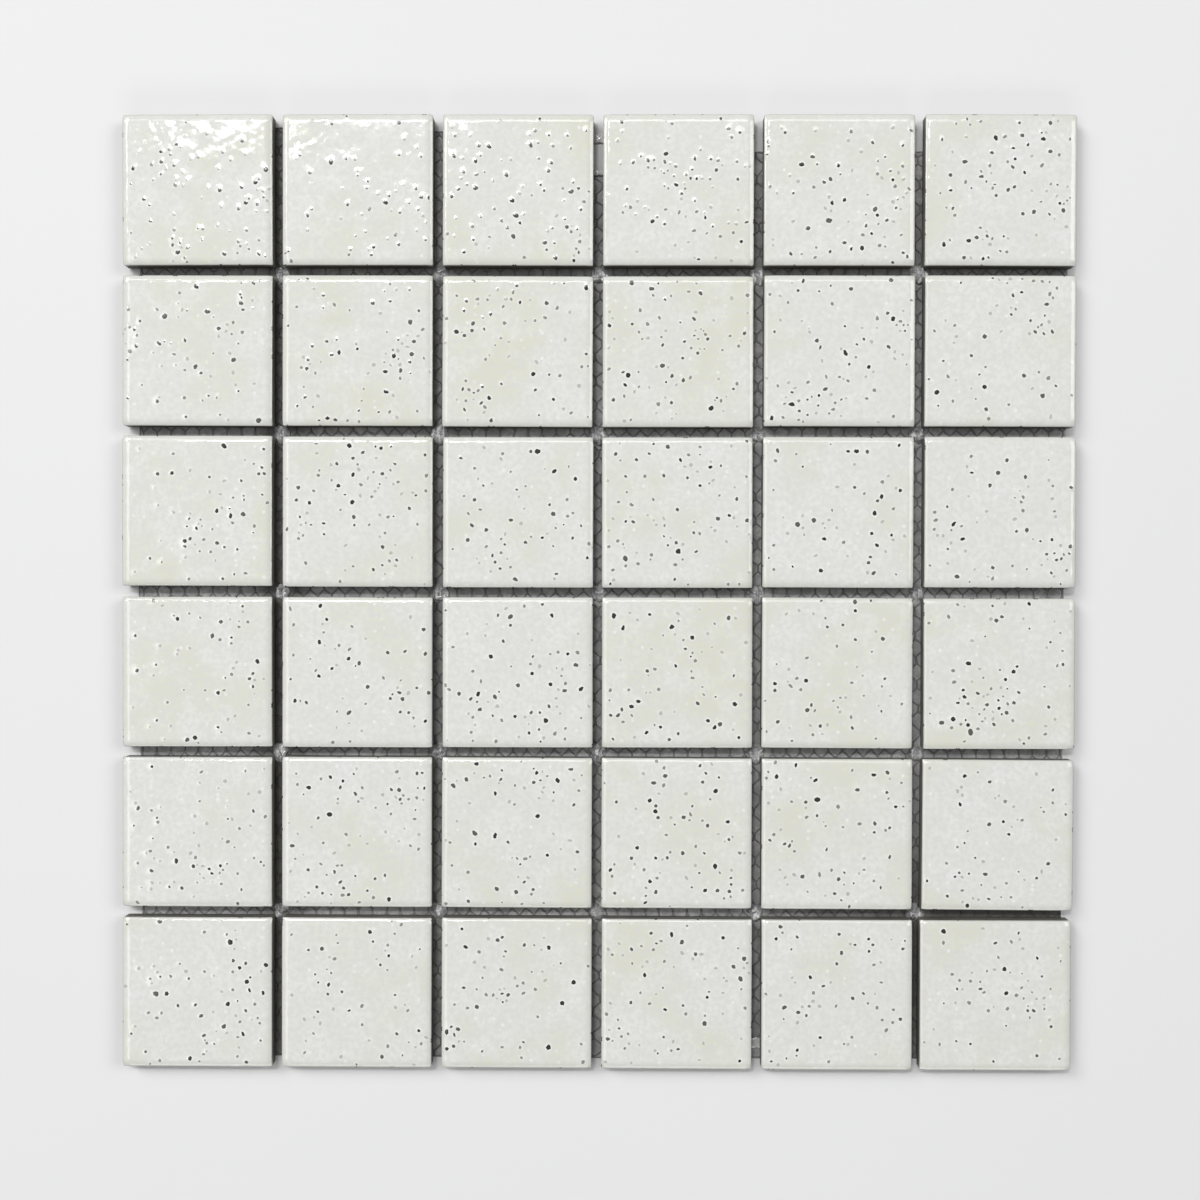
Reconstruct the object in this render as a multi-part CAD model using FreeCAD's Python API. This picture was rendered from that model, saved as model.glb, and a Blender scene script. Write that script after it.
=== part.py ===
import FreeCAD, Part
import math
import os
import random

# Mosaic tile sheet: square glazed tiles in a grid, on a thin backing net, with dots of glue where the joints cross.
# Millimetres. The sheet lies flat with its glazed faces up (+Z). +X runs along the rows to the right and +Y up the
# columns, so row 1 is at +Y. The origin is at the middle of the back, on the floor.

# driving dimensions
COUNT = 6             # tiles each way
TILE = 47.8           # side of one tile, sold as 48
PITCH = 51.0          # tile and joint
TILE_THICK = 6.0
CORNER_R = 0.95       # the tile's upright corners
EDGE_R = 0.75         # the rounded rim of the glazed face
BACK_CHAMFER = 0.35   # the broken edge round the tile's back
NET_THICK = 0.4
FACE_Z = NET_THICK + TILE_THICK

# How far each tile sits from its place in the even grid: to the right, up, and turned anticlockwise in degrees.
# Rows from the top, columns from the left.
OFFSETS = [
    [(0.10, 0.15, 0.22), (0.12, 0.16, 0.04), (0.05, 0.08, -0.09), (-0.04, 0.11, -0.03), (-0.15, 0.10, -0.04), (-0.14, 0.05, -0.22)],
    [(0.10, 0.13, -0.13), (0.10, 0.16, -0.04), (0.00, -0.06, -0.20), (-0.10, -0.10, 0.00), (0.03, 0.22, -0.07), (-0.10, 0.20, -0.12)],
    [(0.00, 0.20, -0.03), (0.18, 0.00, -0.01), (0.26, -0.12, -0.02), (-0.20, -0.10, 0.05), (-0.19, 0.07, -0.12), (0.03, 0.20, -0.06)],
    [(0.10, -0.05, 0.15), (0.16, -0.11, -0.06), (0.20, 0.01, 0.06), (-0.09, 0.07, 0.03), (-0.34, 0.12, -0.20), (-0.06, 0.00, 0.10)],
    [(0.12, -0.14, 0.00), (0.10, 0.00, -0.01), (0.05, -0.03, -0.13), (-0.14, -0.03, -0.08), (-0.26, -0.09, -0.04), (-0.34, -0.16, -0.25)],
    [(0.14, -0.32, 0.00), (0.07, -0.26, -0.07), (0.08, -0.22, -0.05), (0.02, -0.27, -0.10), (-0.12, -0.26, 0.03), (-0.86, -0.20, 0.06)],
]

# The net's outline, from its top left corner clockwise. Its left and top edges lie inside the tiles' own outline.
NET_OUTLINE = [
    (-147.4, 145.0), (-101.0, 149.4), (-50.5, 148.0), (-24.0, 142.0), (-1.0, 133.3), (24.0, 137.5),
    (51.0, 141.5), (102.0, 141.5), (150.4, 142.5), (149.6, 0.0), (149.0, -149.6), (0.0, -150.2),
    (-146.2, -149.8), (-148.0, 0.0),
]

# Dots of glue: one a crossing. A dot is a low dome with a tongue along the joint below it or to its right.
DOT_R = (1.9, 2.6)
DOT_H = (1.3, 2.1)
SCRAP_THICK = 0.3
SCRAPS = [(0.3, 145.6, 3.0), (0.2, 134.6, 1.8), (51.4, -144.7, 3.4)]  # x, y and length along the upright joint


def tile_at(x, y, turn):
    body = Part.makeBox(TILE, TILE, TILE_THICK, FreeCAD.Vector(-TILE / 2, -TILE / 2, NET_THICK))
    upright = [e for e in body.Edges if abs(e.Vertexes[0].Z - e.Vertexes[1].Z) > 1.0]
    body = body.makeFillet(CORNER_R, upright)
    rim = [e for e in body.Edges if min(v.Z for v in e.Vertexes) > FACE_Z - 0.01]
    body = body.makeFillet(EDGE_R, rim)
    foot = [e for e in body.Edges if max(v.Z for v in e.Vertexes) < NET_THICK + 0.01]
    body = body.makeChamfer(BACK_CHAMFER, foot)
    body.rotate(FreeCAD.Vector(0, 0, 0), FreeCAD.Vector(0, 0, 1), turn)
    body.translate(FreeCAD.Vector(x, y, 0))
    return body


def dome(x, y, r, h):
    """A cap of a ball, standing on the net."""
    ball_r = (r * r + h * h) / (2 * h)
    ball = Part.makeSphere(ball_r, FreeCAD.Vector(x, y, NET_THICK + h - ball_r))
    keep = Part.makeBox(4 * r, 4 * r, h + 1.0, FreeCAD.Vector(x - 2 * r, y - 2 * r, NET_THICK))
    return ball.common(keep)


def main():
    os.makedirs("parts", exist_ok=True)
    nodes = {}
    grid = {}
    for row in range(COUNT):
        for col in range(COUNT):
            dx, dy, turn = OFFSETS[row][col]
            x = (col - (COUNT - 1) / 2) * PITCH + dx
            y = ((COUNT - 1) / 2 - row) * PITCH + dy
            solid = tile_at(x, y, turn)
            grid[row, col] = solid
            nodes["tile_r%d_c%d" % (row + 1, col + 1)] = solid

    face = Part.Face(Part.makePolygon([FreeCAD.Vector(x, y, 0) for x, y in NET_OUTLINE + NET_OUTLINE[:1]]))
    nodes["backing_net"] = face.extrude(FreeCAD.Vector(0, 0, NET_THICK))

    pick = random.Random(11)
    glue = []
    for i in range(COUNT - 1):
        for j in range(COUNT - 1):
            around = [grid[i, j], grid[i, j + 1], grid[i + 1, j], grid[i + 1, j + 1]]
            centres = [s.BoundBox.Center for s in around]
            x = sum(c.x for c in centres) / 4 + pick.uniform(-0.2, 0.4)
            y = sum(c.y for c in centres) / 4 + pick.uniform(-0.5, 0.2)
            r, h = pick.uniform(*DOT_R), pick.uniform(*DOT_H)
            along = pick.uniform(1.2, 2.2)
            if pick.random() < 0.65:
                tongue = dome(x, y - along, r * 0.8, h * 0.7)
            else:
                tongue = dome(x + along, y, r * 0.8, h * 0.7)
            dot = dome(x, y, r, h).fuse(tongue)
            glue.append(max(dot.cut(around).Solids, key=lambda s: s.Volume))
    for x, y, length in SCRAPS:
        near = [s for s in grid.values() if abs(s.BoundBox.Center.x - x) < PITCH and abs(s.BoundBox.Center.y - y) < PITCH]
        strip = Part.makeBox(6.0, length, SCRAP_THICK, FreeCAD.Vector(x - 3.0, y - length / 2, NET_THICK + 0.4))
        glue.append(max(strip.cut(near).Solids, key=lambda s: s.Volume))
    nodes["glue_dots"] = Part.makeCompound(glue)

    # the origin goes to the middle of the sheet's outline
    box = FreeCAD.BoundBox()
    for shape in nodes.values():
        box.add(shape.optimalBoundingBox())
    move = FreeCAD.Vector(-box.Center.x, -box.Center.y, 0)
    print("moved by", round(move.x, 4), round(move.y, 4))
    volume = 0.0
    for name, shape in nodes.items():
        shape.translate(move)
        shape.exportStep("parts/%s.step" % name)
        volume += shape.Volume if name.startswith("tile") else 0.0
    print("tiles", round(volume / 1000, 2), "cm3; net", round(nodes["backing_net"].Volume / 1000, 2),
          "glue", round(nodes["glue_dots"].Volume / 1000, 3), "solids", len(nodes["glue_dots"].Solids))


main()
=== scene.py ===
import math
import random

import bpy
import numpy as np
from mathutils import Matrix, Vector
from mathutils.geometry import delaunay_2d_cdt


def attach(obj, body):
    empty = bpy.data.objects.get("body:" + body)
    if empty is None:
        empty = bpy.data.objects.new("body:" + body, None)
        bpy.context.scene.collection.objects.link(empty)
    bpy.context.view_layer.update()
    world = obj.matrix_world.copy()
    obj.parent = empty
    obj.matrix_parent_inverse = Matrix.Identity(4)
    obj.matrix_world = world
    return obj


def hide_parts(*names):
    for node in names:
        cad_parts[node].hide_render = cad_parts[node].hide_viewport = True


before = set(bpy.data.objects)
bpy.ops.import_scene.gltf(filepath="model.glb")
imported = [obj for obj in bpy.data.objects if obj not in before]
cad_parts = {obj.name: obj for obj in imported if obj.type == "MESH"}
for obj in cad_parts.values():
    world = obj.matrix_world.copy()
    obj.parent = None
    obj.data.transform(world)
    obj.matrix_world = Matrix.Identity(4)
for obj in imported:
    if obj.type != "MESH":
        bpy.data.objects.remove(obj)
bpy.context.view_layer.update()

# Sizes in millimetres, as in the part's source. Meshes are made in metres.
MM = 0.001
COUNT = 6
TILE = 47.8
HALF = TILE / 2
PITCH = 51.0
CORNER_R = 0.95
NET_THICK = 0.4
FACE_Z = 6.4
SHIFT = (-0.021, 0.041)
OFFSETS = [
    [(0.10, 0.15, 0.22), (0.12, 0.16, 0.04), (0.05, 0.08, -0.09), (-0.04, 0.11, -0.03), (-0.15, 0.10, -0.04), (-0.14, 0.05, -0.22)],
    [(0.10, 0.13, -0.13), (0.10, 0.16, -0.04), (0.00, -0.06, -0.20), (-0.10, -0.10, 0.00), (0.03, 0.22, -0.07), (-0.10, 0.20, -0.12)],
    [(0.00, 0.20, -0.03), (0.18, 0.00, -0.01), (0.26, -0.12, -0.02), (-0.20, -0.10, 0.05), (-0.19, 0.07, -0.12), (0.03, 0.20, -0.06)],
    [(0.10, -0.05, 0.15), (0.16, -0.11, -0.06), (0.20, 0.01, 0.06), (-0.09, 0.07, 0.03), (-0.34, 0.12, -0.20), (-0.06, 0.00, 0.10)],
    [(0.12, -0.14, 0.00), (0.10, 0.00, -0.01), (0.05, -0.03, -0.13), (-0.14, -0.03, -0.08), (-0.26, -0.09, -0.04), (-0.34, -0.16, -0.25)],
    [(0.14, -0.32, 0.00), (0.07, -0.26, -0.07), (0.08, -0.22, -0.05), (0.02, -0.27, -0.10), (-0.12, -0.26, 0.03), (-0.86, -0.20, 0.06)],
]
NET_OUTLINE = [
    (-147.4, 145.0), (-101.0, 149.4), (-50.5, 148.0), (-24.0, 142.0), (-1.0, 133.3), (24.0, 137.5),
    (51.0, 141.5), (102.0, 141.5), (150.4, 142.5), (149.6, 0.0), (149.0, -149.6), (0.0, -150.2),
    (-146.2, -149.8), (-148.0, 0.0),
]


# ---------------------------------------------------------------- node helpers

def new_material(name):
    mat = bpy.data.materials.new(name)
    mat.use_nodes = True
    tree = mat.node_tree
    tree.nodes.clear()
    out = tree.nodes.new("ShaderNodeOutputMaterial")
    bsdf = tree.nodes.new("ShaderNodeBsdfPrincipled")
    tree.links.new(bsdf.outputs[0], out.inputs["Surface"])
    return mat, tree, bsdf


def noise(tree, vec, scale, detail=2.0, rough=0.5):
    n = tree.nodes.new("ShaderNodeTexNoise")
    n.inputs["Scale"].default_value = scale
    n.inputs["Detail"].default_value = detail
    n.inputs["Roughness"].default_value = rough
    tree.links.new(vec, n.inputs["Vector"])
    return n


def mix_colour(tree, fac, a, b):
    m = tree.nodes.new("ShaderNodeMix")
    m.data_type = "RGBA"
    for socket, value in ((m.inputs[0], fac), (m.inputs[6], a), (m.inputs[7], b)):
        if isinstance(value, bpy.types.NodeSocket):
            tree.links.new(value, socket)
        elif isinstance(value, tuple):
            socket.default_value = (*value, 1.0)
        else:
            socket.default_value = value
    return m.outputs[2]


def ramp(tree, fac, lo, hi, out_lo=0.0, out_hi=1.0):
    m = tree.nodes.new("ShaderNodeMapRange")
    m.interpolation_type = "SMOOTHSTEP"
    tree.links.new(fac, m.inputs["Value"])
    m.inputs["From Min"].default_value = lo
    m.inputs["From Max"].default_value = hi
    m.inputs["To Min"].default_value = out_lo
    m.inputs["To Max"].default_value = out_hi
    return m.outputs["Result"]


def maths(tree, op, a, b):
    m = tree.nodes.new("ShaderNodeMath")
    m.operation = op
    for socket, value in ((m.inputs[0], a), (m.inputs[1], b)):
        if isinstance(value, bpy.types.NodeSocket):
            tree.links.new(value, socket)
        else:
            socket.default_value = value
    return m.outputs[0]


def bump(tree, bsdf, height, strength, distance):
    b = tree.nodes.new("ShaderNodeBump")
    b.inputs["Strength"].default_value = strength
    b.inputs["Distance"].default_value = distance
    tree.links.new(height, b.inputs["Height"])
    tree.links.new(b.outputs["Normal"], bsdf.inputs["Normal"])


def attribute(tree, name):
    a = tree.nodes.new("ShaderNodeAttribute")
    a.attribute_name = name
    return a


# ---------------------------------------------------------------- materials

def dots(tree, vec, scale, radius, share):
    """Small round soft spots scattered at random: 1 in their middle. share is how many of the cells have one."""
    v = tree.nodes.new("ShaderNodeTexVoronoi")
    v.inputs["Scale"].default_value = scale
    tree.links.new(vec, v.inputs["Vector"])
    pick = tree.nodes.new("ShaderNodeSeparateColor")
    tree.links.new(v.outputs["Color"], pick.inputs[0])
    near = ramp(tree, v.outputs["Distance"], radius * 0.35, radius, 1.0, 0.0)
    strength = ramp(tree, pick.outputs[0], 1.0 - share, 1.0, 0.0, 1.0)
    return maths(tree, "MULTIPLY", near, strength)


def glaze_material():
    """Off-white gloss glaze: greener where it lies thinner and in drifts; pale clouds and spots that are partly paler
    glaze and partly painted reflections; a pale ring round each speck, partly paler glaze and partly a painted glint;
    darker and greener near the rim, partly thinner glaze and partly painted shade, with a painted shade line at the
    very edge.
    """
    mat, tree, bsdf = new_material("speckled_glaze")
    pos = tree.nodes.new("ShaderNodeNewGeometry").outputs["Position"]
    drift = noise(tree, pos, 34.0, 2.0, 0.45)
    cloud = noise(tree, pos, 110.0, 3.0, 0.55)
    mottle = noise(tree, pos, 620.0, 3.0, 0.62)
    tint = attribute(tree, "tint").outputs["Fac"]
    rim = attribute(tree, "rim").outputs["Fac"]
    ring_glint = attribute(tree, "ring_glint").outputs["Fac"]
    warm = maths(tree, "ADD", ramp(tree, drift.outputs["Fac"], 0.42, 0.66, 0.0, 0.85), tint)
    base = mix_colour(tree, warm, (0.716, 0.722, 0.697), (0.668, 0.674, 0.558))
    # pale clouds: partly paler glaze, partly painted reflections
    clouds_and_reflections = mix_colour(tree, ramp(tree, cloud.outputs["Fac"], 0.42, 0.66, 0.0, 0.55), base, (0.775, 0.78, 0.765))
    fine = mix_colour(tree, ramp(tree, mottle.outputs["Fac"], 0.34, 0.66, 0.0, 0.8), clouds_and_reflections, (0.655, 0.66, 0.63))
    # pale spots: partly paler glaze, partly painted glints
    spots_and_glints = mix_colour(tree, maths(tree, "MULTIPLY", dots(tree, pos, 340.0, 0.27, 0.6), 0.75), fine, (0.83, 0.83, 0.81))
    # pale ring round each speck: partly paler glaze, partly a painted glint of the lump it sits on
    ringed = mix_colour(tree, maths(tree, "MULTIPLY", ring_glint, 0.8), spots_and_glints, (0.83, 0.83, 0.81))
    # darker and greener near the rim: partly thinner glaze, partly painted shade where the edge rolls away
    rim_thin_and_shaded = mix_colour(tree, maths(tree, "MULTIPLY", rim, 0.55), ringed, (0.605, 0.608, 0.555))
    # a painted shade line at the very edge of the face
    line = mix_colour(tree, ramp(tree, rim, 0.93, 1.0, 0.0, 0.85), rim_thin_and_shaded, (0.42, 0.424, 0.40))
    tree.links.new(line, bsdf.inputs["Base Color"])
    ripple = noise(tree, pos, 900.0, 2.0, 0.5)
    rough = noise(tree, pos, 260.0, 2.0, 0.5)
    tree.links.new(ramp(tree, rough.outputs["Fac"], 0.3, 0.7, 0.05, 0.09), bsdf.inputs["Roughness"])
    bump(tree, bsdf, ripple.outputs["Fac"], 0.25, 0.00003)
    bsdf.inputs["IOR"].default_value = 1.5
    return mat


def body_material():
    """The fired clay of the walls and the back: grey, matt and slightly gritty."""
    mat, tree, bsdf = new_material("fired_body")
    pos = tree.nodes.new("ShaderNodeNewGeometry").outputs["Position"]
    grit = noise(tree, pos, 1400.0, 4.0, 0.6)
    patch = noise(tree, pos, 90.0, 3.0, 0.5)
    base = mix_colour(tree, ramp(tree, patch.outputs["Fac"], 0.35, 0.65), (0.185, 0.177, 0.152), (0.14, 0.133, 0.115))
    both = mix_colour(tree, ramp(tree, grit.outputs["Fac"], 0.50, 0.72, 0.0, 0.45), base, (0.09, 0.086, 0.075))
    tree.links.new(both, bsdf.inputs["Base Color"])
    bsdf.inputs["Roughness"].default_value = 0.75
    bump(tree, bsdf, grit.outputs["Fac"], 0.5, 0.0001)
    return mat


def speck_material(name, colour):
    """One tone of the specks of iron that show through the glaze."""
    mat, tree, bsdf = new_material(name)
    pos = tree.nodes.new("ShaderNodeNewGeometry").outputs["Position"]
    bsdf.inputs["Base Color"].default_value = (*colour, 1.0)
    grain = noise(tree, pos, 3000.0, 3.0, 0.6)
    tree.links.new(ramp(tree, grain.outputs["Fac"], 0.3, 0.7, 0.10, 0.24), bsdf.inputs["Roughness"])
    bump(tree, bsdf, grain.outputs["Fac"], 0.4, 0.00004)
    return mat


GLAZE = glaze_material()
BODY = body_material()
SPECKS = [
    speck_material("speck_black", (0.042, 0.041, 0.037)),
    speck_material("speck_dark", (0.115, 0.111, 0.098)),
    speck_material("speck_grey", (0.26, 0.255, 0.23)),
    speck_material("speck_pale", (0.47, 0.465, 0.425)),
]


# ---------------------------------------------------------------- tiles

class Field:
    """A smooth random surface: a sum of plane waves, with its slope known exactly."""

    def __init__(self, rng, wave, amp, n=26):
        k = 2 * math.pi / (wave * rng.uniform(0.7, 1.5, n))
        a = rng.uniform(0, 2 * math.pi, n)
        self.kx, self.ky = k * np.cos(a), k * np.sin(a)
        self.ph = rng.uniform(0, 2 * math.pi, n)
        self.amp = amp * math.sqrt(2.0 / n)

    def __call__(self, x, y):
        t = x[:, None] * self.kx + y[:, None] * self.ky + self.ph
        c, s = np.cos(t), np.sin(t)
        return self.amp * s.sum(1), self.amp * (c * self.kx).sum(1), self.amp * (c * self.ky).sum(1)


CUSHION_W = 2.7     # the band in which the face falls away to its edge
CUSHION_K = 0.57    # its slope at the edge
CUSHION_P = 1.45    # how sharply it bends
CUSHION_R = 2.5     # how that band turns the corner
TOP_DROP = 0.23
EDGE_IN = 0.12      # the glazed face's outline, inside the wall
ROUND = 0.50        # its corners


def cushion(x, y):
    """Height lost near the edge, and its slope along x and y."""
    ax, ay = np.abs(x), np.abs(y)
    qx, qy = ax - (HALF - CUSHION_R), ay - (HALF - CUSHION_R)
    px, py = np.maximum(qx, 0), np.maximum(qy, 0)
    length = np.hypot(px, py)
    corner = (px > 0) & (py > 0)
    t = CUSHION_R - np.where(corner, length, np.maximum(qx, qy))
    safe = np.maximum(length, 1e-9)
    nx = np.where(corner, px / safe, (qx >= qy).astype(float)) * np.sign(x)
    ny = np.where(corner, py / safe, (qy > qx).astype(float)) * np.sign(y)
    u = np.clip((CUSHION_W - t) / CUSHION_W, 0, None)
    inside = u <= 1
    full = CUSHION_K * CUSHION_W / (CUSHION_P + 1)
    drop = np.where(inside, full * u ** (CUSHION_P + 1), full + CUSHION_K * CUSHION_W * (u - 1))
    slope = CUSHION_K * np.where(inside, u ** CUSHION_P, 1.0)
    return -drop, -slope * nx, -slope * ny


class Face:
    """The height of one tile's glazed face, and its slope, over the tile's own plan."""

    def __init__(self, seed, specks):
        rng = np.random.default_rng(seed)
        self.fields = [Field(rng, 30.0, 0.014, 14), Field(rng, 6.5, 0.0062), Field(rng, 2.4, 0.0036)]
        # each speck sits on a broad lump and a narrow, steeper one
        lumps = [(x, y, h, s) for x, y, _, _, h, s in specks]
        lumps += [(x, y, 0.75 * h, 0.42 * s) for x, y, _, _, h, s in specks]
        for _ in range(46):
            x, y = rng.uniform(-HALF + 1.5, HALF - 1.5, 2)
            lumps.append((x, y, rng.uniform(0.006, 0.032), rng.uniform(0.55, 1.0)))
        self.lumps = np.array(lumps)
        self.dome = rng.uniform(-0.02, 0.04)
        self.tilt = rng.uniform(-0.002, 0.002, 2)

    def __call__(self, x, y):
        z, gx, gy = cushion(x, y)
        z = z - TOP_DROP
        for f in self.fields:
            h, a, b = f(x, y)
            z, gx, gy = z + h, gx + a, gy + b
        z = z + self.dome * (1 - (x * x + y * y) / (2 * HALF * HALF)) + self.tilt[0] * x + self.tilt[1] * y
        gx = gx - self.dome * x / HALF ** 2 + self.tilt[0]
        gy = gy - self.dome * y / HALF ** 2 + self.tilt[1]
        for cx, cy, h, s in self.lumps:
            dx, dy = x - cx, y - cy
            e = h * np.exp(-(dx * dx + dy * dy) / (2 * s * s))
            z, gx, gy = z + e, gx - e * dx / s ** 2, gy - e * dy / s ** 2
        return np.minimum(z, -0.004), gx, gy


def rounded_square(half, r, step):
    """Points round a square with rounded corners, anticlockwise."""
    pts = []
    flat = half - r
    n = max(2, round(2 * flat / step))
    arc = 5
    for k in range(4):
        a = math.radians(90 * k)
        c, s = math.cos(a), math.sin(a)
        for i in range(n):
            x, y = half, -flat + 2 * flat * i / n
            pts.append((c * x - s * y, s * x + c * y))
        for i in range(arc):
            b = math.radians(90 * i / arc)
            x, y = flat + r * math.cos(b), flat + r * math.sin(b)
            pts.append((c * x - s * y, s * x + c * y))
    return pts


def make_specks(rnd):
    """Specks of one tile: x, y, outline as distances at even angles, tone, height and width of the lump round it."""
    specks = []
    total = rnd.randint(54, 88)
    tries = 0
    knots = [(rnd.uniform(-20, 20), rnd.uniform(-20, 20), rnd.uniform(2.0, 6.0)) for _ in range(rnd.randint(3, 6))]
    while len(specks) < total and tries < 4000:
        tries += 1
        if rnd.random() < 0.35:
            kx, ky, ks = rnd.choice(knots)
            x, y = rnd.gauss(kx, ks), rnd.gauss(ky, ks)
        else:
            x, y = rnd.uniform(-HALF, HALF), rnd.uniform(-HALF, HALF)
        size = min(0.82, 0.50 * math.exp(rnd.gauss(0, 0.21)))
        if rnd.random() < 0.012:
            size = rnd.uniform(0.7, 0.95)
        if max(abs(x), abs(y)) > HALF - EDGE_IN - size * 1.35 - 0.1 or abs(x) + abs(y) > 2 * HALF - 2.2:
            continue
        if any((x - s[0]) ** 2 + (y - s[1]) ** 2 < (size * 1.35 + max(s[2]) + 0.12) ** 2 for s in specks):
            continue
        n = 8 if size < 0.46 else 12
        stretch, turn = 1 + abs(rnd.gauss(0, 0.40)), rnd.uniform(0, math.pi)
        stretch = min(stretch, 1.9)
        outline = []
        for i in range(n):
            a = 2 * math.pi * i / n
            u, v = math.cos(a - turn) / stretch ** 0.5, math.sin(a - turn) * stretch ** 0.5
            outline.append(size / math.hypot(u, v) * rnd.uniform(0.80, 1.14))
        u = rnd.random()
        if size > 0.66:
            tone = 0 if u < 0.5 else 1
        elif size > 0.50:
            tone = 0 if u < 0.10 else 1 if u < 0.38 else 2 if u < 0.72 else 3
        else:
            tone = 0 if u < 0.05 else 1 if u < 0.26 else 2 if u < 0.62 else 3
        lump = rnd.uniform(0.035, 0.095) * (1.1 if tone < 2 else 0.7)
        specks.append((x, y, outline, tone, lump, rnd.uniform(0.58, 0.82) + size * 0.35))
    return specks


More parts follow.
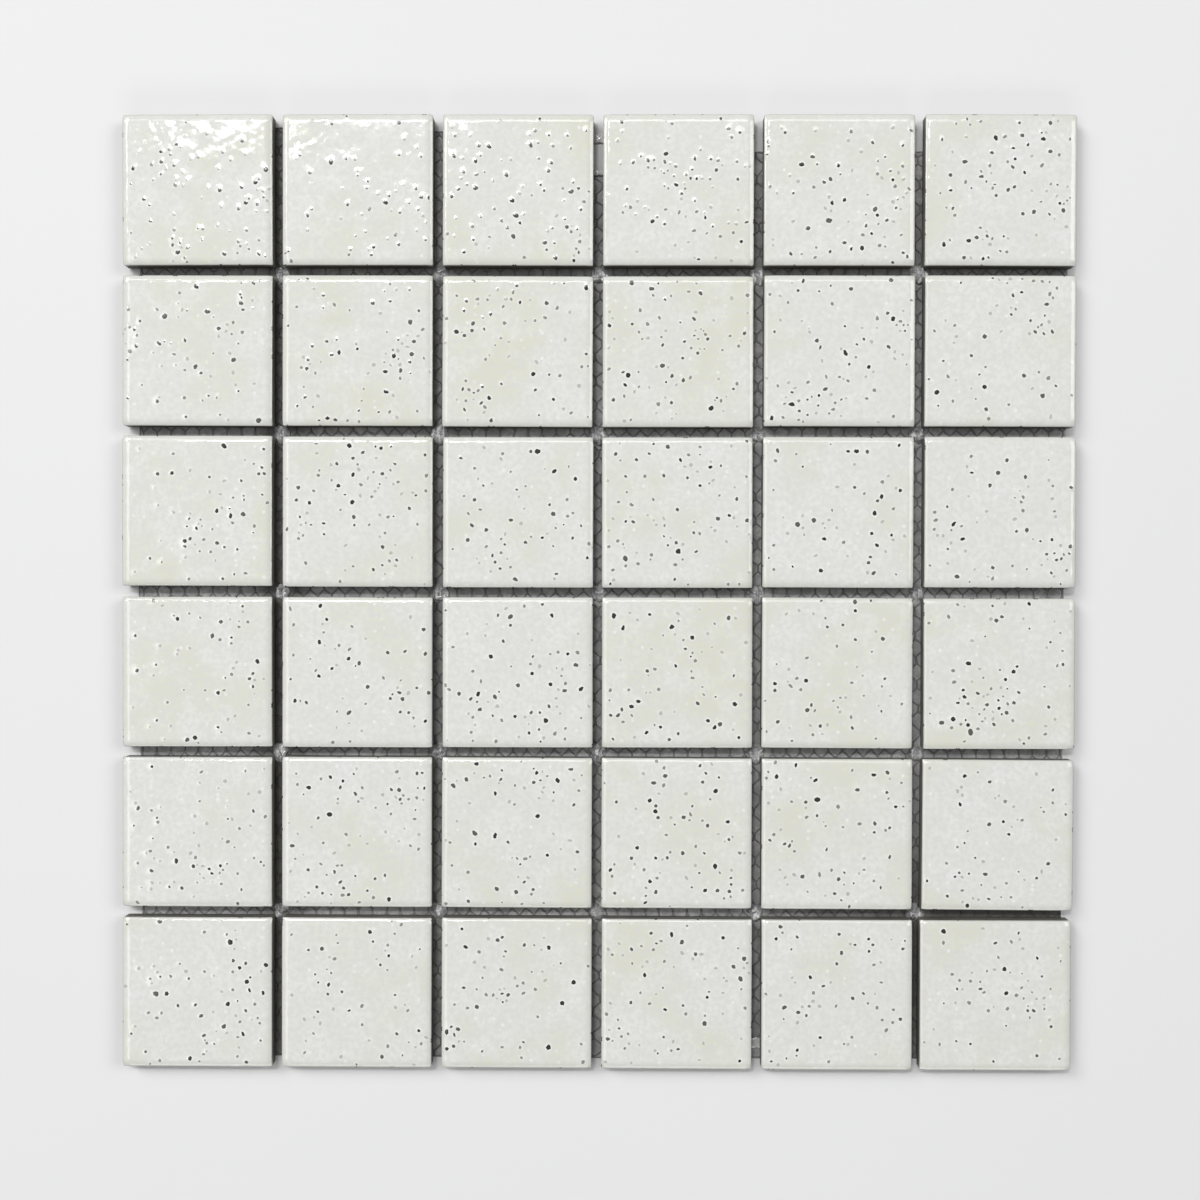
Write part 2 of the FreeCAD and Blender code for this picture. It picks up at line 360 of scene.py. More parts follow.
def tile_mesh(name, row, col):
    rnd = random.Random(1000 + row * 10 + col)
    specks = make_specks(rnd)
    face = Face(500 + row * 10 + col, specks)
    rng = np.random.default_rng(90 + row * 10 + col)
    step = 0.74

    rim = rounded_square(HALF - EDGE_IN, ROUND - EDGE_IN * 0.5, step)
    n_rim = len(rim)
    pts = list(rim)
    edges = [(i, (i + 1) % n_rim) for i in range(n_rim)]
    # closer rows of points over the rounded edge
    for inset in (0.26, 0.58, 0.96, 1.40, 1.92, 2.5):
        pts += rounded_square(HALF - EDGE_IN - inset, max(0.4, ROUND - EDGE_IN - inset * 0.6), step)
    inner = HALF - EDGE_IN - 2.9
    n = int(2 * inner / step)
    keep = []
    for i in range(n + 1):
        for j in range(n + 1):
            x = -inner + 2 * inner * (i + (0.5 if j % 2 else 0.0)) / (n + 0.5)
            y = -inner + 2 * inner * j / n
            keep.append((x, y))
    grid = np.array(keep) + rng.uniform(-0.09, 0.09, (len(keep), 2)) * step
    grid = grid[(np.abs(grid) <= inner).all(1)]
    far = np.ones(len(grid), bool)
    for x, y, outline, *_ in specks:
        reach = max(outline)
        far &= (grid[:, 0] - x) ** 2 + (grid[:, 1] - y) ** 2 > (reach + 1.15) ** 2
    pts += [tuple(p) for p in grid[far]]
    for x, y, outline, *_ in specks:
        m = len(outline)
        start = len(pts)
        for i, r in enumerate(outline):
            a = 2 * math.pi * i / m
            pts.append((x + r * math.cos(a), y + r * math.sin(a)))
        edges += [(start + i, start + (i + 1) % m) for i in range(m)]
        pts.append((x, y))
        for gap, turn in ((0.28, 0.5), (0.80, 0.0)):
            for i in range(m):
                a = 2 * math.pi * (i + turn) / m
                px, py = x + (outline[i] + gap) * math.cos(a), y + (outline[i] + gap) * math.sin(a)
                if max(abs(px), abs(py)) > HALF - EDGE_IN - 0.12:
                    continue
                if any((px - q[0]) ** 2 + (py - q[1]) ** 2 < (max(q[2]) + 0.12) ** 2 for q in specks if q[0] != x):
                    continue
                pts.append((px, py))
    verts2, _, tris, *_ = delaunay_2d_cdt([Vector(p) for p in pts], edges, [], 0, 1e-5, False)
    xy = np.array([(v.x, v.y) for v in verts2])
    tris = np.array([t if len(t) == 3 else t[:3] for t in tris])
    a, b, c = xy[tris[:, 0]], xy[tris[:, 1]], xy[tris[:, 2]]
    area = (b[:, 0] - a[:, 0]) * (c[:, 1] - a[:, 1]) - (c[:, 0] - a[:, 0]) * (b[:, 1] - a[:, 1])
    tris[area < 0] = tris[area < 0][:, ::-1]
    tris = tris[np.abs(area) > 1e-7]
    mid = (xy[tris[:, 0]] + xy[tris[:, 1]] + xy[tris[:, 2]]) / 3
    slot = np.zeros(len(tris), int)
    for x, y, outline, tone, *_ in specks:
        dx, dy = mid[:, 0] - x, mid[:, 1] - y
        near = np.hypot(dx, dy) < max(outline)
        m = len(outline)
        loop = np.array([(r * math.cos(2 * math.pi * i / m), r * math.sin(2 * math.pi * i / m)) for i, r in enumerate(outline)])
        inside = np.zeros(len(mid), bool)
        for i in range(m):
            (x0, y0), (x1, y1) = loop[i], loop[(i + 1) % m]
            crosses = (y0 > dy) != (y1 > dy)
            with np.errstate(divide="ignore", invalid="ignore"):
                at = (x1 - x0) * (dy - y0) / (y1 - y0) + x0
            inside ^= crosses & (dx < at)
        slot[near & inside] = 2 + tone
    z, gx, gy = face(xy[:, 0], xy[:, 1])
    top = np.column_stack([xy, FACE_Z + z])
    normal = np.column_stack([-gx, -gy, np.ones(len(gx))])

    # the rim's points, in order, and the rings of the wall below them
    order = []
    for p in rim:
        d = (xy[:, 0] - p[0]) ** 2 + (xy[:, 1] - p[1]) ** 2
        order.append(int(d.argmin()))
    levels = [(HALF - 0.035, -0.07), (HALF - 0.006, -0.20), (HALF - 0.006, -0.46), (HALF - 0.06, -0.53)]
    fixed = [(HALF - 0.06, 3.4), (HALF - 0.06, 0.75), (HALF - 0.35, NET_THICK), (HALF - 1.4, NET_THICK)]
    verts = [top]
    faces = [tuple(int(i) for i in t) for t in tris]
    slots = [int(s) for s in slot]
    above = order
    count = len(top)
    wobble = Field(rng, 9.0, 0.02)
    drip = Field(rng, 5.0, 0.14)
    rim_z = top[order, 2]
    marks = {}
    for _ in range(rnd.randint(4, 9)):
        at, tone = rnd.randrange(n_rim), rnd.choice((0, 0, 1, 1, 2))
        for i in range(at, at + rnd.choice((1, 1, 2))):
            marks[i % n_rim] = (2 + tone, rnd.choice((1, 2, 3)))
    on_rim = {v: i for i, v in enumerate(order)}
    for f, t in enumerate(faces):
        hit = [on_rim[v] for v in t if v in on_rim]
        if len(hit) == 2 and min(hit) in marks and abs(hit[0] - hit[1]) == 1:
            slots[f] = marks[min(hit)][0]
    for k, (half, at) in enumerate(levels + fixed):
        ring = np.array(rounded_square(half, ROUND if half > HALF - 0.2 else ROUND - (HALF - half) * 0.3, step))
        if len(ring) != n_rim:
            ring = np.array([np.array(p) * (half / (HALF - EDGE_IN)) for p in rim])
        inward = -np.abs(wobble(ring[:, 0], ring[:, 1] + 40.0 * k)[0]) if 1 <= k <= 5 else np.zeros(n_rim)
        away = ring / np.linalg.norm(ring, axis=1)[:, None]
        ring = ring + away * inward[:, None]
        if k < len(levels):
            height = rim_z + at
            if k >= 2:
                height = height + drip(ring[:, 0], ring[:, 1])[0]
        else:
            height = np.full(n_rim, at)
        verts.append(np.column_stack([ring, height]))
        here = list(range(count, count + n_rim))
        for i in range(n_rim):
            j = (i + 1) % n_rim
            faces.append((above[i], here[i], here[j], above[j]))
            if i in marks and k < marks[i][1]:
                slots.append(marks[i][0])
            else:
                slots.append(0 if k < 4 else 1)
        above = here
        count += n_rim
    # the back
    last = verts[-1][:, :2]
    back_pts = [Vector(p) for p in last]
    back_edges = [(i, (i + 1) % n_rim) for i in range(n_rim)]
    m = 10
    for i in range(1, m):
        for j in range(1, m):
            back_pts.append(Vector(((i / m - 0.5) * 2 * (HALF - 1.6) + rnd.uniform(-0.4, 0.4), (j / m - 0.5) * 2 * (HALF - 1.6) + rnd.uniform(-0.4, 0.4))))
    bverts, _, bfaces, borig, *_ = delaunay_2d_cdt(back_pts, back_edges, [], 0, 1e-5, True)
    index = []
    extra = []
    for v, orig in zip(bverts, borig):
        ring_ids = [o for o in orig if o < n_rim]
        if ring_ids:
            index.append(above[ring_ids[0]])
        else:
            index.append(count + len(extra))
            extra.append((v.x, v.y, NET_THICK))
    verts.append(np.array(extra))
    for f in bfaces:
        p = [bverts[i] for i in f]
        turn = (p[1].x - p[0].x) * (p[2].y - p[0].y) - (p[2].x - p[0].x) * (p[1].y - p[0].y)
        ids = [index[i] for i in f]
        faces.append(tuple(ids if turn < 0 else ids[::-1]))
        slots.append(1)
    co = np.vstack(verts)

    mesh = bpy.data.meshes.new(name)
    mesh.from_pydata((co * MM).tolist(), [], faces)
    for mat in [GLAZE, BODY] + SPECKS:
        mesh.materials.append(mat)
    mesh.polygons.foreach_set("material_index", slots)
    mesh.polygons.foreach_set("use_smooth", [True] * len(faces))
    mesh.update()
    normals = np.zeros(len(co) * 3, np.float32)
    mesh.vertex_normals.foreach_get("vector", normals)
    normals = normals.reshape(-1, 3)
    normal /= np.linalg.norm(normal, axis=1)[:, None]
    keep_flat = np.zeros(len(co), bool)
    keep_flat[: len(top)] = True
    keep_flat[order] = False
    normals[keep_flat] = normal[keep_flat[: len(top)]]
    normals[len(top) + 7 * n_rim:] = (0, 0, -1)
    mesh.normals_split_custom_set_from_vertices(normals.tolist())

    tint = mesh.attributes.new("tint", "FLOAT", "POINT")
    tint.data.foreach_set("value", np.full(len(co), rnd.uniform(-0.25, 0.35), np.float32))
    edge = np.minimum(HALF - np.abs(co[:, 0]), HALF - np.abs(co[:, 1]))
    pale = np.zeros(len(co))
    # a ring round each speck, partly paler glaze and partly a painted glint, stronger round the darker specks
    for x, y, outline, tone, *_ in specks:
        d = np.hypot(co[: len(top), 0] - x, co[: len(top), 1] - y) - sum(outline) / len(outline)
        ring = np.clip(1 - (d - 0.06) / 0.6, 0, 1) * (1.0, 0.8, 0.5, 0.3)[tone]
        pale[: len(top)] = np.maximum(pale[: len(top)], ring)
    ring_glint = mesh.attributes.new("ring_glint", "FLOAT", "POINT")
    ring_glint.data.foreach_set("value", pale.astype(np.float32))
    # closeness to the edge, which sets the rim's thinner glaze, its painted shade and the painted shade line
    rim_attr = mesh.attributes.new("rim", "FLOAT", "POINT")
    rim_attr.data.foreach_set("value", np.clip(1.07 - edge / 2.4, 0, 1).astype(np.float32))

    uv = []
    n_top, n_wall = len(tris), 8 * n_rim
    for f, ids in enumerate(faces):
        if f < n_top:
            for v in ids:
                uv += [0.005 + 0.785 * (co[v, 0] / TILE + 0.5), 0.005 + 0.785 * (co[v, 1] / TILE + 0.5)]
        elif f < n_top + n_wall:
            k, i = divmod(f - n_top, n_rim)
            left, right = 0.81 + 0.185 * k / 8, 0.81 + 0.185 * (k + 1) / 8
            low, high = 0.005 + 0.99 * i / n_rim, 0.005 + 0.99 * (i + 1) / n_rim
            uv += [left, low, right, low, right, high, left, high]
        else:
            for v in ids:
                uv += [0.005 + 0.785 * (co[v, 0] / TILE + 0.5), 0.81 + 0.185 * (co[v, 1] / TILE + 0.5)]
    mesh.uv_layers.new(name="OFBake").data.foreach_set("uv", uv)

    ob = bpy.data.objects.new(name, mesh)
    bpy.context.scene.collection.objects.link(ob)
    dx, dy, turn = OFFSETS[row][col]
    x = (col - (COUNT - 1) / 2) * PITCH + dx + SHIFT[0]
    y = ((COUNT - 1) / 2 - row) * PITCH + dy + SHIFT[1]
    ob.matrix_world = Matrix.Translation((x * MM, y * MM, 0)) @ Matrix.Rotation(math.radians(turn), 4, "Z")
    return ob


for row in range(COUNT):
    for col in range(COUNT):
        node = "tile_r%d_c%d" % (row + 1, col + 1)
        ob = tile_mesh("glazed_" + node, row, col)
        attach(ob, "root")
        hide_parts(node)


# ---------------------------------------------------------------- backing net

def net_material():
    """Grey bonded thread with a faint fuzz and paler and darker stretches, and painted shade along the left and back
    joints and at one corner.
    """
    mat, tree, bsdf = new_material("net_thread")
    pos = tree.nodes.new("ShaderNodeNewGeometry").outputs["Position"]
    fibre = noise(tree, pos, 2600.0, 3.0, 0.6)
    drift = noise(tree, pos, 60.0, 2.0, 0.5)
    base = mix_colour(tree, ramp(tree, drift.outputs["Fac"], 0.35, 0.65), (0.19, 0.19, 0.192), (0.25, 0.25, 0.248))
    both = mix_colour(tree, ramp(tree, fibre.outputs["Fac"], 0.45, 0.7, 0.0, 0.5), base, (0.31, 0.31, 0.305))
    # painted shade on the thread's upper side along the left and back joints and at one corner
    tree.links.new(painted_joint_shade(tree, pos, both, 0.7), bsdf.inputs["Base Color"])
    bsdf.inputs["Roughness"].default_value = 0.7
    bump(tree, bsdf, fibre.outputs["Fac"], 0.6, 0.00008)
    return mat


NET_AF = 4.505          # a cell across its flats
ROW = 3.9               # from one row of cells to the next
SLANT = 1.95            # how much of that the slanted threads take
NET_TURN = math.radians(2.4)    # the net lies a little askew under the tiles
NET_PASS = (-23.8, -48.2)       # a row of slanted threads runs through here
THREAD = 0.58


def in_outline(x, y, poly):
    hit = False
    for i in range(len(poly)):
        (x0, y0), (x1, y1) = poly[i - 1], poly[i]
        if (y0 > y) != (y1 > y) and x < (x1 - x0) * (y - y0) / (y1 - y0) + x0:
            hit = not hit
    return hit


def spot(tree, pos, centre, reach):
    """1 in the middle of an oval, falling to 0 at its edge. Its centre and its two radii are in millimetres."""
    lay = tree.nodes.new("ShaderNodeMapping")
    lay.inputs["Scale"].default_value = (1 / (reach[0] * MM), 1 / (reach[1] * MM), 0.0)
    lay.inputs["Location"].default_value = (-centre[0] / reach[0], -centre[1] / reach[1], 0.0)
    tree.links.new(pos, lay.inputs["Vector"])
    far = tree.nodes.new("ShaderNodeVectorMath")
    far.operation = "LENGTH"
    tree.links.new(lay.outputs["Vector"], far.inputs[0])
    return ramp(tree, far.outputs["Value"], 0.25, 1.0, 1.0, 0.0)


def painted_joint_shade(tree, pos, colour, by):
    """The colour, darker and browner on the net's upper side: painted shade along the left and back joints and at one
    corner.
    """
    # painted shade: ovals along the left joints, the back joint and one corner
    left = spot(tree, pos, (-102, 20), (13, 330))
    second = spot(tree, pos, (-51, 20), (13, 330))
    back = spot(tree, pos, (10, 112), (330, 30))
    corner = spot(tree, pos, (135, -118), (110, 60))
    dark = maths(tree, "MAXIMUM", maths(tree, "MULTIPLY", left, 0.9), corner)
    dark = maths(tree, "MAXIMUM", maths(tree, "MULTIPLY", back, 0.5), dark)
    dark = maths(tree, "MAXIMUM", maths(tree, "MULTIPLY", second, 0.35), dark)
    facing = tree.nodes.new("ShaderNodeSeparateXYZ")
    tree.links.new(tree.nodes.new("ShaderNodeNewGeometry").outputs["True Normal"], facing.inputs[0])
    dark = maths(tree, "MULTIPLY", dark, ramp(tree, facing.outputs["Z"], -0.6, 0.1))
    return mix_colour(tree, maths(tree, "MULTIPLY", dark, by), colour, (0.045, 0.043, 0.034))


def cell_shade_film_material():
    """The thin film that closes the net's cells: dull and mid-grey, partly a film of glue and partly a sheet whose grey
    stands in for the shade on the ground seen through the cells.
    """
    mat, tree, bsdf = new_material("net_cell_shade_film")
    pos = tree.nodes.new("ShaderNodeNewGeometry").outputs["Position"]
    cloud = noise(tree, pos, 700.0, 3.0, 0.6)
    patch = noise(tree, pos, 160.0, 2.0, 0.5)
    base = mix_colour(tree, ramp(tree, patch.outputs["Fac"], 0.35, 0.65), (0.32, 0.32, 0.322), (0.47, 0.47, 0.465))
    both = mix_colour(tree, ramp(tree, cloud.outputs["Fac"], 0.40, 0.66, 0.0, 0.7), base, (0.28, 0.28, 0.275))
    # painted shade on the film's upper side along the left and back joints and at one corner
    tree.links.new(painted_joint_shade(tree, pos, both, 0.85), bsdf.inputs["Base Color"])
    tree.links.new(ramp(tree, cloud.outputs["Fac"], 0.3, 0.7, 0.45, 0.7), bsdf.inputs["Roughness"])
    bump(tree, bsdf, cloud.outputs["Fac"], 0.5, 0.0001)
    return mat


def pull_in(x, y, poly, gap):
    """The point itself, or where it lies too far out, the nearest one that is a gap inside the outline."""
    best = None
    for i in range(len(poly)):
        (x0, y0), (x1, y1) = poly[i - 1], poly[i]
        t = max(0.0, min(1.0, ((x - x0) * (x1 - x0) + (y - y0) * (y1 - y0)) / ((x1 - x0) ** 2 + (y1 - y0) ** 2)))
        px, py = x0 + t * (x1 - x0), y0 + t * (y1 - y0)
        d = math.hypot(x - px, y - py)
        if best is None or d < best[0]:
            # the outline runs clockwise, so its inside is to the right
            long = math.hypot(x1 - x0, y1 - y0)
            best = (d, px + gap * (y1 - y0) / long, py - gap * (x1 - x0) / long)
    if in_outline(x, y, poly) and best[0] >= gap:
        return x, y
    return best[1], best[2]


def make_net():
    rnd = random.Random(77)
    poly = [(x + SHIFT[0], y + SHIFT[1]) for x, y in NET_OUTLINE]
    nodes, node_at = [], {}
    turn_c, turn_s = math.cos(NET_TURN), math.sin(NET_TURN)
    rise = -turn_s * NET_PASS[0] + turn_c * NET_PASS[1] - ROW / 2

    def node(key):
        """The crossing at a column of half cells and a level: two levels a row, at the slants' lower and upper ends."""
        if key not in node_at:
            node_at[key] = len(nodes)
            x, (row_at, upper) = key[0] * NET_AF / 2, divmod(key[1], 2)
            y = rise + row_at * ROW + (ROW - SLANT) / 2 + (SLANT if upper else 0.0)
            u, v = turn_c * x - turn_s * y, turn_s * x + turn_c * y
            inside = in_outline(u, v, poly)
            u, v = pull_in(u + rnd.gauss(0, 0.11), v + rnd.gauss(0, 0.11), poly, THREAD / 2 + 0.1)
            nodes.append((u, v, rnd.uniform(0.8, 1.2), inside))
        return node_at[key]

    cells = []
    for j in range(-60, 61):
        for i in range(-38, 39):
            x = 2 * i + j % 2
            ids = [node(k) for k in ((x + 1, 2 * j), (x, 2 * j + 1), (x - 1, 2 * j), (x - 1, 2 * j - 1), (x, 2 * j - 2), (x + 1, 2 * j - 1))]
            if sum(nodes[n][3] for n in ids) >= 2:
                area = sum(nodes[ids[a - 1]][0] * nodes[ids[a]][1] - nodes[ids[a]][0] * nodes[ids[a - 1]][1] for a in range(6)) / 2
                if area > 3.0:
                    cells.append(ids)
    verts = []
    mid = NET_THICK / 2
    for x, y, w, _ in nodes:
        verts.append((x, y, NET_THICK - 0.02))
        verts.append((x, y, 0.02 * w))
    faces = []
    uses = {}
    for ids in cells:
        cx = sum(nodes[i][0] for i in ids) / 6
        cy = sum(nodes[i][1] for i in ids) / 6
        inner = []
        for i in ids:
            x, y, w, _ = nodes[i]
            d = math.hypot(x - cx, y - cy)
            k = min(0.6, (THREAD * w / 2) / math.cos(math.radians(30)) / d)
            inner.append(len(verts))
            verts.append((x + (cx - x) * k, y + (cy - y) * k, mid))
        for a in range(6):
            b = (a + 1) % 6
            p, q = ids[a], ids[b]
            if math.hypot(nodes[p][0] - nodes[q][0], nodes[p][1] - nodes[q][1]) < 0.02:
                nodes[q] = (nodes[p][0] + 0.02, nodes[p][1] + 0.02, nodes[q][2], False)
            faces.append((2 * p, 2 * q, inner[b], inner[a]))
            faces.append((2 * p + 1, inner[a], inner[b], 2 * q + 1))
            uses[p, q] = uses.get((p, q), 0) + 1
    # the outer half of the threads round the net's border
    outer = {}
    border = [(p, q) for (p, q) in uses if (q, p) not in uses]
    for p, q in border:
        dx, dy = nodes[q][0] - nodes[p][0], nodes[q][1] - nodes[p][1]
        d = math.hypot(dx, dy)
        for n in (p, q):
            ox, oy = outer.get(n, (0.0, 0.0))
            outer[n] = (ox + dy / d, oy - dx / d)
    at = {}
    for n, (ox, oy) in outer.items():
        d = max(0.3, math.hypot(ox, oy))
        at[n] = len(verts)
        verts.append((nodes[n][0] + ox / d * THREAD / 2, nodes[n][1] + oy / d * THREAD / 2, mid))
    for p, q in border:
        faces.append((2 * q, 2 * p, at[p], at[q]))
        faces.append((2 * q + 1, at[q], at[p], 2 * p + 1))
    threads = len(faces)
    # the film in the cells, partly painted shade for the ground seen through them: one thin sheet, cut as the net is
    low = len(verts)
    edge = [pull_in(x, y, poly, 0.12) for x, y in poly]
    m = len(edge)
    verts += [(x, y, 0.10) for x, y in edge] + [(x, y, 0.18) for x, y in edge]
    loops, _, tri, *_ = delaunay_2d_cdt([Vector(q) for q in edge], [(i, (i + 1) % m) for i in range(m)], [], 1, 1e-5, False)
    for t in tri:
        a, b, c = (edge[i] for i in t)
        if not in_outline((a[0] + b[0] + c[0]) / 3, (a[1] + b[1] + c[1]) / 3, edge):
            continue
        if (b[0] - a[0]) * (c[1] - a[1]) - (c[0] - a[0]) * (b[1] - a[1]) < 0:
            t = t[::-1]
        faces.append(tuple(low + m + i for i in t))
        faces.append(tuple(low + i for i in t[::-1]))
    for i in range(m):
        j = (i + 1) % m
        faces.append((low + i, low + m + i, low + m + j, low + j))
    mesh = bpy.data.meshes.new("honeycomb_net")
    mesh.from_pydata([(x * MM, y * MM, z * MM) for x, y, z in verts], [], faces)
    mesh.materials.append(net_material())
    mesh.materials.append(cell_shade_film_material())
    mesh.polygons.foreach_set("use_smooth", [f < threads for f in range(len(faces))])
    mesh.polygons.foreach_set("material_index", [0 if f < threads else 1 for f in range(len(faces))])
    uv = []
    for f, ids in enumerate(faces):
        for v in ids:
            uv += [verts[v][0] / 310 + 0.5, verts[v][1] / 620 + (0.75 if f < threads else 0.25)]
    mesh.uv_layers.new(name="OFBake").data.foreach_set("uv", uv)
    mesh.update()
    ob = bpy.data.objects.new("honeycomb_net", mesh)
    bpy.context.scene.collection.objects.link(ob)
    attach(ob, "root")
    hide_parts("backing_net")


make_net()


# ---------------------------------------------------------------- glue

def glue_material(name, low, high):
    """Cloudy, half-clear glue with pale streaks, partly milky glue and partly painted highlights of its folds."""
    mat, tree, bsdf = new_material(name)
    pos = tree.nodes.new("ShaderNodeNewGeometry").outputs["Position"]
    cloud = noise(tree, pos, 420.0, 3.0, 0.6)
    grain = noise(tree, pos, 1500.0, 3.0, 0.6)
    lay = tree.nodes.new("ShaderNodeMapping")
    lay.inputs["Rotation"].default_value = (0.0, 0.0, 0.9)
    lay.inputs["Scale"].default_value = (1.0, 0.22, 1.0)
    tree.links.new(pos, lay.inputs["Vector"])
    streak_glint = noise(tree, lay.outputs["Vector"], 900.0, 2.0, 0.5)
    base = mix_colour(tree, ramp(tree, cloud.outputs["Fac"], 0.38, 0.64), low, high)
    # pale streaks: partly milky glue, partly painted highlights on the glue's folds
    both = mix_colour(tree, ramp(tree, streak_glint.outputs["Fac"], 0.52, 0.64, 0.0, 0.75), base, (0.78, 0.78, 0.775))
    tree.links.new(both, bsdf.inputs["Base Color"])
    tree.links.new(ramp(tree, cloud.outputs["Fac"], 0.3, 0.7, 0.12, 0.24), bsdf.inputs["Roughness"])
    bsdf.inputs["Subsurface Weight"].default_value = 0.25
    bsdf.inputs["Subsurface Radius"].default_value = (0.0012, 0.0012, 0.0012)
    bsdf.inputs["Subsurface Scale"].default_value = 1.0
    bump(tree, bsdf, grain.outputs["Fac"], 0.4, 0.0001)
    return mat


def tile_place(row, col):
    dx, dy, turn = OFFSETS[row][col]
    x = (col - (COUNT - 1) / 2) * PITCH + dx + SHIFT[0]
    y = ((COUNT - 1) / 2 - row) * PITCH + dy + SHIFT[1]
    return x, y, math.radians(turn)


def in_tile(x, y, place, grow=0.0):
    cx, cy, turn = place
    c, s = math.cos(turn), math.sin(turn)
    u, v = abs(c * (x - cx) + s * (y - cy)), abs(-s * (x - cx) + c * (y - cy))
    half = HALF - 0.06 + grow
    if u > half or v > half:
        return False
    qx, qy = u - (half - CORNER_R), v - (half - CORNER_R)
    return not (qx > 0 and qy > 0 and math.hypot(qx, qy) > CORNER_R)


def blob(verts, faces, x, y, reach, height, tiles, rnd, base=NET_THICK - 0.03, arms=48, rings=9, folds=2):
    """A lump of glue round x, y. reach(angle) is how far it runs where no tile stops it."""
    start = len(verts)
    edge = []
    for i in range(arms):
        a = 2 * math.pi * i / arms
        far = reach(a)
        r = 0.3
        while r < far and not any(in_tile(x + r * math.cos(a), y + r * math.sin(a), t, 0.015) for t in tiles):
            r += 0.05
        edge.append((min(r, far), r < far))
    creases = [(rnd.uniform(0, math.pi), rnd.uniform(-1.2, 1.2), rnd.uniform(0.10, 0.26), rnd.choice((-1, -1, 1))) for _ in range(folds)]
    waves = [(rnd.uniform(0.8, 2.6), rnd.uniform(0, 2 * math.pi), rnd.uniform(0, 2 * math.pi)) for _ in range(5)]

    def top(dx, dy, p, stopped):
        h = height * ((1 - p ** 2.4) * (0.62 if stopped else 1.0) + (0.38 if stopped else 0.0))
        for k, a, ph in waves:
            h += 0.10 * height * math.sin(k * (dx * math.cos(a) + dy * math.sin(a)) + ph)
        for a, off, wide, sign in creases:
            d = dx * math.sin(a) - dy * math.cos(a) - off
            h += sign * 0.34 * height * math.exp(-(d / wide) ** 2) * (1 - p ** 4)
        return base + max(0.05, h)

    verts.append((x, y, top(0, 0, 0, False)))
    for k in range(1, rings + 1):
        p = (k / rings) ** 0.8
        for i in range(arms):
            a = 2 * math.pi * i / arms
            r, stopped = edge[i]
            dx, dy = p * r * math.cos(a), p * r * math.sin(a)
            verts.append((x + dx, y + dy, top(dx, dy, p, stopped)))
    low = len(verts)
    for i in range(arms):
        a = 2 * math.pi * i / arms
        r = edge[i][0]
        verts.append((x + r * math.cos(a), y + r * math.sin(a), base))
    verts.append((x, y, base))
    for i in range(arms):
        j = (i + 1) % arms
        faces.append((start, start + 1 + i, start + 1 + j))
        for k in range(1, rings):
            a, b = start + 1 + (k - 1) * arms, start + 1 + k * arms
            faces.append((a + i, b + i, b + j, a + j))
        a = start + 1 + (rings - 1) * arms
        faces.append((a + i, low + i, low + j, a + j))
        faces.append((len(verts) - 1, low + j, low + i))


def make_glue():
    rnd = random.Random(4242)
    verts, faces = [], []
    for i in range(COUNT - 1):
        for j in range(COUNT - 1):
            tiles = [tile_place(i, j), tile_place(i, j + 1), tile_place(i + 1, j), tile_place(i + 1, j + 1)]
            x = sum(t[0] for t in tiles) / 4 + rnd.uniform(-0.1, 0.35)
            y = sum(t[1] for t in tiles) / 4 + rnd.uniform(-0.4, 0.1)
            r0 = rnd.uniform(2.2, 2.9)
            push, lean = rnd.uniform(-1.9, -0.3), rnd.uniform(0.3, 1.4)
            ph = [rnd.uniform(0, 2 * math.pi) for _ in range(3)]

            def reach(a, r0=r0, push=push, lean=lean, ph=ph):
                away = lean * max(0.0, math.cos(a - push)) ** 4
                return r0 + away + 0.25 * math.sin(3 * a + ph[0]) + 0.16 * math.sin(5 * a + ph[1]) + 0.1 * math.sin(9 * a + ph[2])

            blob(verts, faces, x, y, reach, rnd.uniform(1.1, 1.8), tiles, rnd, folds=rnd.choice((3, 4, 5)))
    lumps = len(faces)
    for x, y, length in ((0.3, 145.6, 3.0), (0.2, 134.6, 1.8), (51.4, -144.7, 3.4)):
        x, y = x + SHIFT[0], y + SHIFT[1]
        tiles = [tile_place(r, c) for r in range(COUNT) for c in range(COUNT)]
        tiles = [t for t in tiles if abs(t[0] - x) < PITCH and abs(t[1] - y) < PITCH]

        def reach(a, length=length):
            return min(length / 2 / max(0.15, abs(math.sin(a))), 3.2) + 0.12 * math.sin(5 * a)

        blob(verts, faces, x, y, reach, 0.35, tiles, rnd, base=NET_THICK + 0.35, folds=1)
    mesh = bpy.data.meshes.new("glue_lumps")
    mesh.from_pydata([(x * MM, y * MM, z * MM) for x, y, z in verts], [], faces)
    mesh.materials.append(glue_material("clear_glue", (0.24, 0.24, 0.245), (0.42, 0.42, 0.415)))
    mesh.materials.append(glue_material("glue_scrap", (0.62, 0.62, 0.615), (0.73, 0.73, 0.725)))
    mesh.polygons.foreach_set("material_index", [0 if f < lumps else 1 for f in range(len(faces))])
    mesh.polygons.foreach_set("use_smooth", [True] * len(faces))
    mesh.update()
    ob = bpy.data.objects.new("glue_lumps", mesh)
    bpy.context.scene.collection.objects.link(ob)
    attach(ob, "root")
    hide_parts("glue_dots")


make_glue()


# ---------------------------------------------------------------- camera, floor and light

# The camera's place in the part's frame, in millimetres, and its small turns in degrees.
CAM_TURNS = (0.426, -0.510, -0.141)
CAM_T = (-0.86, 2.404, 449.08)


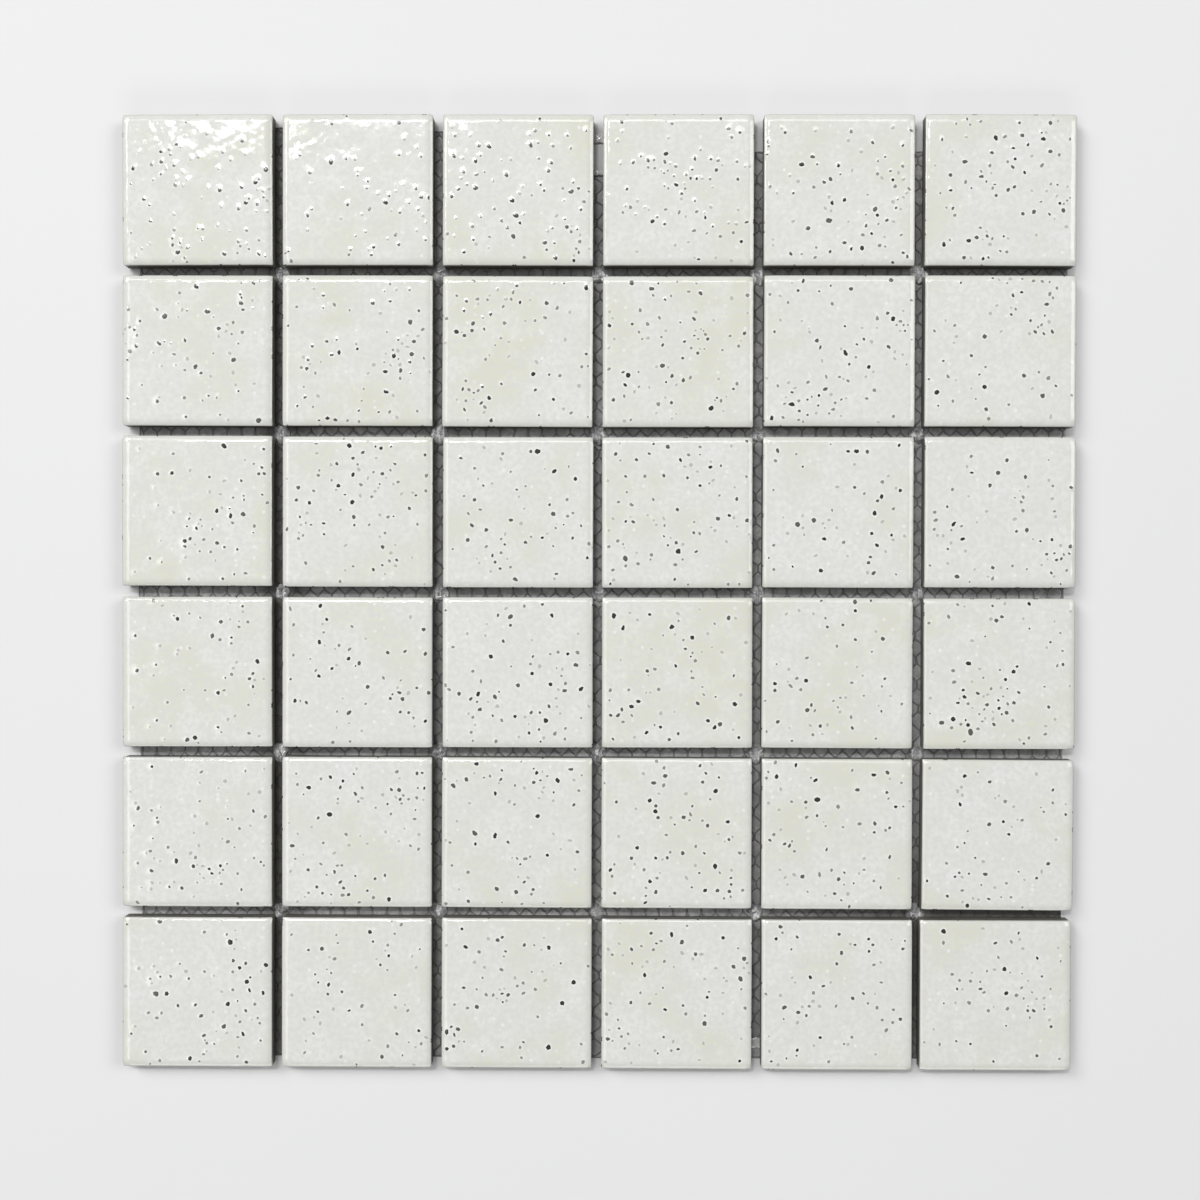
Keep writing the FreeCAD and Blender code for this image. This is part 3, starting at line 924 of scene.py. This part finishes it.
def camera():
    rx, ry, rz = (math.radians(a) for a in CAM_TURNS)
    turn = Matrix.Rotation(rx, 3, "X") @ Matrix.Rotation(ry, 3, "Y") @ Matrix.Rotation(rz, 3, "Z")
    back = turn.transposed()
    place = back @ Vector((-CAM_T[0], -CAM_T[1], CAM_T[2]))
    place += Vector((SHIFT[0], SHIFT[1], FACE_Z))
    data = bpy.data.cameras.new("camera")
    data.sensor_width = 36.0
    data.lens = 1416.0 / 1200.0 * 36.0
    data.clip_start = 0.01
    data.clip_end = 20.0
    cam = bpy.data.objects.new("camera", data)
    bpy.context.scene.collection.objects.link(cam)
    cam.matrix_world = Matrix.Translation(place * MM) @ back.to_4x4()
    bpy.context.scene.camera = cam


def floor():
    mesh = bpy.data.meshes.new("floor")
    s = 14.0
    n = 14
    verts = [((i / n * 2 - 1) * s, (j / n * 2 - 1) * s, 0.0) for j in range(n + 1) for i in range(n + 1)]
    quads = [(j * (n + 1) + i, j * (n + 1) + i + 1, (j + 1) * (n + 1) + i + 1, (j + 1) * (n + 1) + i) for j in range(n) for i in range(n)]
    mesh.from_pydata(verts, [], quads)
    mat, tree, bsdf = new_material("floor")
    pos = tree.nodes.new("ShaderNodeNewGeometry").outputs["Position"]
    n1 = noise(tree, pos, 3.0, 2.0)
    tree.links.new(mix_colour(tree, n1.outputs["Fac"], (0.735, 0.735, 0.74), (0.75, 0.75, 0.75)), bsdf.inputs["Base Color"])
    bsdf.inputs["Roughness"].default_value = 0.9
    bsdf.inputs["Specular IOR Level"].default_value = 0.2
    mesh.materials.append(mat)
    ob = bpy.data.objects.new("floor", mesh)
    bpy.context.scene.collection.objects.link(ob)


def area(name, place, target, size, power, colour=(1, 1, 1)):
    data = bpy.data.lights.new(name, "AREA")
    data.shape = "RECTANGLE"
    data.size, data.size_y = size
    data.energy = power
    data.color = colour
    ob = bpy.data.objects.new(name, data)
    bpy.context.scene.collection.objects.link(ob)
    ob.location = place
    ob.rotation_euler = (Vector(target) - Vector(place)).to_track_quat("-Z", "Y").to_euler()
    return ob


def overhead(name, x, y, glow):
    """A flat panel of even light, RIG metres over the floor. x and y are its span as seen mirrored in the sheet, in mm."""
    grow = (RIG / 0.449 + 1) * MM
    cx, cy, w, d = grow * (x[0] + x[1]) / 2, grow * (y[0] + y[1]) / 2, grow * (x[1] - x[0]), grow * (y[1] - y[0])
    area(name, (cx, cy, RIG), (cx, cy, 0.0), (w, d), glow * EXPOSURE * math.pi * w * d)


def soft(name, azimuth, zenith, distance, size, share):
    """A softbox aimed at the sheet. share is its part of the light that falls on the floor."""
    a, z = math.radians(azimuth), math.radians(zenith)
    place = (distance * math.sin(z) * math.cos(a), distance * math.sin(z) * math.sin(a), distance * math.cos(z))
    area(name, place, (0.0, 0.0, 0.0), size, share * EXPOSURE * (math.pi * distance) ** 2 / math.cos(z))


EXPOSURE = 1.55
RIG = 3.0


def lights():
    world = bpy.data.worlds.new("world")
    bpy.context.scene.world = world
    world.use_nodes = True
    world.node_tree.nodes["Background"].inputs["Color"].default_value = (1.0, 1.0, 1.0, 1.0)
    world.node_tree.nodes["Background"].inputs["Strength"].default_value = 0.055 * EXPOSURE
    overhead("glare", (-138, -50), (161, 197), 36.0)
    overhead("glare_near", (-142, -108), (150.5, 160), 22.0)
    overhead("back_far_left", (-280, -139), (222, 285), 2.2)
    overhead("back_left", (-128, -52), (222, 262), 3.2)
    overhead("back", (-49, 50), (172, 258), 3.8)
    overhead("back_right", (51, 112), (172, 258), 2.5)
    overhead("left_near", (-200, -168), (1, 112), 1.8)
    overhead("left", (-250, -201), (1, 112), 3.0)
    overhead("left_mid", (-330, -251), (1, 112), 1.4)
    overhead("left_front_near", (-200, -168), (-190, 0), 1.5)
    overhead("left_front", (-250, -201), (-190, 0), 2.4)
    overhead("left_front_mid", (-330, -251), (-190, 0), 1.1)
    soft("left_back", 140.0, 50.0, 3.8, (1.6, 1.6), 0.17)
    soft("right", 20.0, 48.0, 3.8, (1.8, 1.8), 0.14)
    soft("front", -90.0, 62.0, 2.6, (2.2, 0.7), 0.06)


camera()
floor()
lights()
scene = bpy.context.scene
scene.view_settings.view_transform = "Standard"
scene.view_settings.look = "None"
